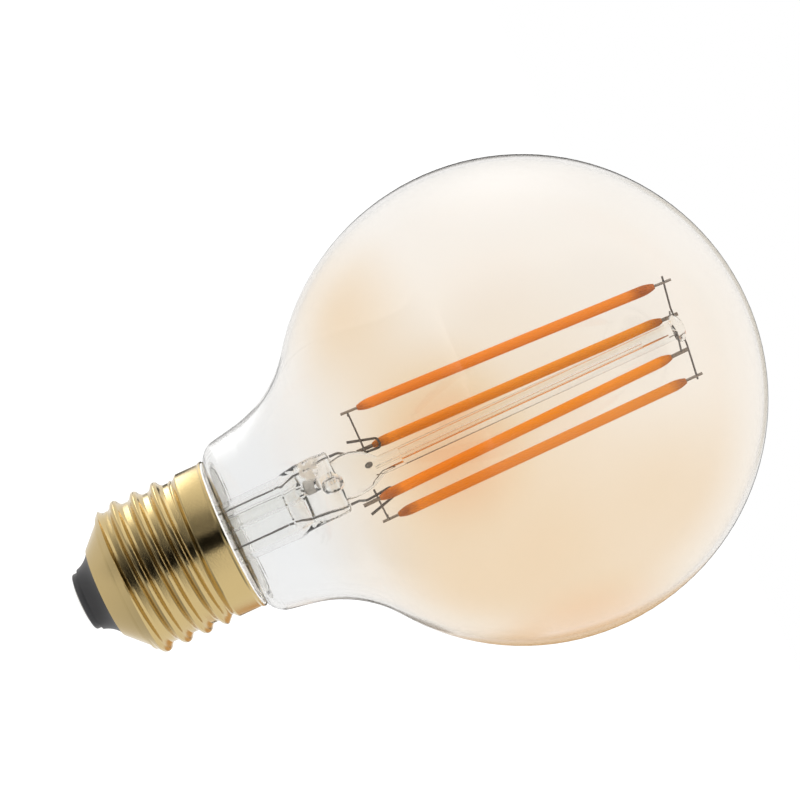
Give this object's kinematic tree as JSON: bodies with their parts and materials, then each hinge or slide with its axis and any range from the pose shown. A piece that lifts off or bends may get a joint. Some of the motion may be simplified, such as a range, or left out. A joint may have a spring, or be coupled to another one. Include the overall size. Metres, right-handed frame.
{
  "type": "led light bulb",
  "caption": "Globe light bulb: amber glass with a clear neck on a brass screw cap, and slim upright light strips around a glass stem inside. Screws into a lampholder.",
  "frame": {"origin": "centre of the flat end face of the centre contact, on the axis of the bulb", "axes": "+Z along the axis from the cap to the top of the globe; -Y faces the camera of the picture, +X is to the right of that view with the cap down"},
  "size_m": [0.08, 0.08, 0.1192],
  "materials": {
    "amber_glass": "clear, amber film inside the globe, clear neck",
    "stem_glass": "clear, slightly wavy",
    "cap_brass": "bright rolled sheet",
    "black_insulator": "smooth, slightly glossy",
    "contact_metal": "tinned",
    "cement": "matte",
    "phosphor_coat": "silicone with phosphor, satin",
    "strip_ceramic": "matte white",
    "diode_chip": "polished",
    "pin_metal": "dull",
    "wire_metal": "drawn wire, dull",
    "seal_wire": "copper-clad, oxidised",
    "circuit_board": "solder mask",
    "capacitor_can": "bare can",
    "package_black": "moulded",
    "resistor_body": "lacquered",
    "live_insulation": "satin",
    "return_insulation": "satin"
  },
  "bodies": {
    "root": {"bridge_rectifier": "package_black", "cap_cement": "cement", "cap_insulator": "black_insulator", "centre_contact": "contact_metal", "cross_wire_left": "wire_metal", "cross_wire_right": "wire_metal", "driver_board": "circuit_board", "driver_chip": "package_black", "fusible_resistor": "resistor_body", "glass_envelope": "amber_glass", "glass_stem": "stem_glass", "inner_lead_left": "wire_metal", "inner_lead_right": "wire_metal", "live_wire": "live_insulation", "outer_lead_left": "wire_metal", "outer_lead_right": "wire_metal", "return_wire": "return_insulation", "screw_shell": "cap_brass", "seal_wire_left": "seal_wire", "seal_wire_right": "seal_wire", "smoothing_capacitor": "capacitor_can", "strip_1_base": "strip_ceramic", "strip_1_chips": "diode_chip", "strip_1_coat": "phosphor_coat", "strip_1_pins": "pin_metal", "strip_2_base": "strip_ceramic", "strip_2_chips": "diode_chip", "strip_2_coat": "phosphor_coat", "strip_2_pins": "pin_metal", "strip_3_base": "strip_ceramic", "strip_3_chips": "diode_chip", "strip_3_coat": "phosphor_coat", "strip_3_pins": "pin_metal", "strip_4_base": "strip_ceramic", "strip_4_chips": "diode_chip", "strip_4_coat": "phosphor_coat", "strip_4_pins": "pin_metal", "top_wire_1": "wire_metal", "top_wire_2": "wire_metal"}
  },
  "joints": []
}
